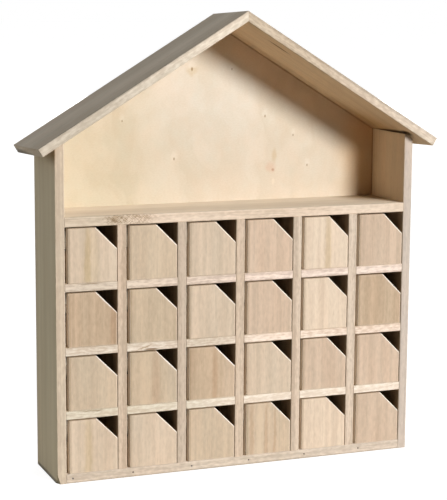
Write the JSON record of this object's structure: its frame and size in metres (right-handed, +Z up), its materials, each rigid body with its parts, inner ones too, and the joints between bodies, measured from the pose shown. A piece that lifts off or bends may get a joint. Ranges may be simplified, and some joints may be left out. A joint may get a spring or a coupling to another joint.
{
  "type": "wooden advent calendar",
  "caption": "House-shaped wooden advent calendar with a field of small pull-out drawers, finger-cut fronts and an open attic under a gable roof.",
  "frame": {"origin": "middle of the house's footprint, on the table", "axes": "+Z up to the ridge, -Y out of the front with the drawers, +X to the viewer's right"},
  "size_m": [0.4074, 0.0914, 0.4436],
  "materials": {
    "case_board": "raw sanded paulownia",
    "shelf_board": "raw sanded paulownia",
    "roof_board": "raw sanded paulownia",
    "drawer_front": "raw sanded paulownia, upright grain",
    "drawer_box": "raw sanded paulownia",
    "plywood": "raw thin plywood",
    "pin": "dulled steel"
  },
  "bodies": {
    "house": {"left_side": "case_board", "right_side": "case_board", "bottom_board": "case_board", "bottom_pins": "pin", "attic_floor": "case_board", "column_dividers": "case_board", "row_shelf_1": "shelf_board", "row_shelf_2": "shelf_board", "row_shelf_3": "shelf_board", "back_panel": "plywood", "roof_left": "roof_board", "roof_right": "roof_board"},
    "drawer_01": {"drawer_01_front": "drawer_front", "drawer_01_box": "drawer_box"},
    "drawer_02": {"drawer_02_front": "drawer_front", "drawer_02_box": "drawer_box"},
    "drawer_03": {"drawer_03_front": "drawer_front", "drawer_03_box": "drawer_box"},
    "drawer_04": {"drawer_04_front": "drawer_front", "drawer_04_box": "drawer_box"},
    "drawer_05": {"drawer_05_front": "drawer_front", "drawer_05_box": "drawer_box"},
    "drawer_06": {"drawer_06_front": "drawer_front", "drawer_06_box": "drawer_box"},
    "drawer_07": {"drawer_07_front": "drawer_front", "drawer_07_box": "drawer_box"},
    "drawer_08": {"drawer_08_front": "drawer_front", "drawer_08_box": "drawer_box"},
    "drawer_09": {"drawer_09_front": "drawer_front", "drawer_09_box": "drawer_box"},
    "drawer_10": {"drawer_10_front": "drawer_front", "drawer_10_box": "drawer_box"},
    "drawer_11": {"drawer_11_front": "drawer_front", "drawer_11_box": "drawer_box"},
    "drawer_12": {"drawer_12_front": "drawer_front", "drawer_12_box": "drawer_box"},
    "drawer_13": {"drawer_13_front": "drawer_front", "drawer_13_box": "drawer_box"},
    "drawer_14": {"drawer_14_front": "drawer_front", "drawer_14_box": "drawer_box"},
    "drawer_15": {"drawer_15_front": "drawer_front", "drawer_15_box": "drawer_box"},
    "drawer_16": {"drawer_16_front": "drawer_front", "drawer_16_box": "drawer_box"},
    "drawer_17": {"drawer_17_front": "drawer_front", "drawer_17_box": "drawer_box"},
    "drawer_18": {"drawer_18_front": "drawer_front", "drawer_18_box": "drawer_box"},
    "drawer_19": {"drawer_19_front": "drawer_front", "drawer_19_box": "drawer_box"},
    "drawer_20": {"drawer_20_front": "drawer_front", "drawer_20_box": "drawer_box"},
    "drawer_21": {"drawer_21_front": "drawer_front", "drawer_21_box": "drawer_box"},
    "drawer_22": {"drawer_22_front": "drawer_front", "drawer_22_box": "drawer_box"},
    "drawer_23": {"drawer_23_front": "drawer_front", "drawer_23_box": "drawer_box"},
    "drawer_24": {"drawer_24_front": "drawer_front", "drawer_24_box": "drawer_box"}
  },
  "joints": [
    {"name": "drawer_01_slide", "type": "slide", "parent": "house", "child": "drawer_01", "axis": [0, -1, 0], "range_m": [0, 0.072]},
    {"name": "drawer_02_slide", "type": "slide", "parent": "house", "child": "drawer_02", "axis": [0, -1, 0], "range_m": [0, 0.072]},
    {"name": "drawer_03_slide", "type": "slide", "parent": "house", "child": "drawer_03", "axis": [0, -1, 0], "range_m": [0, 0.072]},
    {"name": "drawer_04_slide", "type": "slide", "parent": "house", "child": "drawer_04", "axis": [0, -1, 0], "range_m": [0, 0.072]},
    {"name": "drawer_05_slide", "type": "slide", "parent": "house", "child": "drawer_05", "axis": [0, -1, 0], "range_m": [0, 0.072]},
    {"name": "drawer_06_slide", "type": "slide", "parent": "house", "child": "drawer_06", "axis": [0, -1, 0], "range_m": [0, 0.072]},
    {"name": "drawer_07_slide", "type": "slide", "parent": "house", "child": "drawer_07", "axis": [0, -1, 0], "range_m": [0, 0.072]},
    {"name": "drawer_08_slide", "type": "slide", "parent": "house", "child": "drawer_08", "axis": [0, -1, 0], "range_m": [0, 0.072]},
    {"name": "drawer_09_slide", "type": "slide", "parent": "house", "child": "drawer_09", "axis": [0, -1, 0], "range_m": [0, 0.072]},
    {"name": "drawer_10_slide", "type": "slide", "parent": "house", "child": "drawer_10", "axis": [0, -1, 0], "range_m": [0, 0.072]},
    {"name": "drawer_11_slide", "type": "slide", "parent": "house", "child": "drawer_11", "axis": [0, -1, 0], "range_m": [0, 0.072]},
    {"name": "drawer_12_slide", "type": "slide", "parent": "house", "child": "drawer_12", "axis": [0, -1, 0], "range_m": [0, 0.072]},
    {"name": "drawer_13_slide", "type": "slide", "parent": "house", "child": "drawer_13", "axis": [0, -1, 0], "range_m": [0, 0.072]},
    {"name": "drawer_14_slide", "type": "slide", "parent": "house", "child": "drawer_14", "axis": [0, -1, 0], "range_m": [0, 0.072]},
    {"name": "drawer_15_slide", "type": "slide", "parent": "house", "child": "drawer_15", "axis": [0, -1, 0], "range_m": [0, 0.072]},
    {"name": "drawer_16_slide", "type": "slide", "parent": "house", "child": "drawer_16", "axis": [0, -1, 0], "range_m": [0, 0.072]},
    {"name": "drawer_17_slide", "type": "slide", "parent": "house", "child": "drawer_17", "axis": [0, -1, 0], "range_m": [0, 0.072]},
    {"name": "drawer_18_slide", "type": "slide", "parent": "house", "child": "drawer_18", "axis": [0, -1, 0], "range_m": [0, 0.072]},
    {"name": "drawer_19_slide", "type": "slide", "parent": "house", "child": "drawer_19", "axis": [0, -1, 0], "range_m": [0, 0.072]},
    {"name": "drawer_20_slide", "type": "slide", "parent": "house", "child": "drawer_20", "axis": [0, -1, 0], "range_m": [0, 0.072]},
    {"name": "drawer_21_slide", "type": "slide", "parent": "house", "child": "drawer_21", "axis": [0, -1, 0], "range_m": [0, 0.072]},
    {"name": "drawer_22_slide", "type": "slide", "parent": "house", "child": "drawer_22", "axis": [0, -1, 0], "range_m": [0, 0.072]},
    {"name": "drawer_23_slide", "type": "slide", "parent": "house", "child": "drawer_23", "axis": [0, -1, 0], "range_m": [0, 0.072]},
    {"name": "drawer_24_slide", "type": "slide", "parent": "house", "child": "drawer_24", "axis": [0, -1, 0], "range_m": [0, 0.072]}
  ]
}
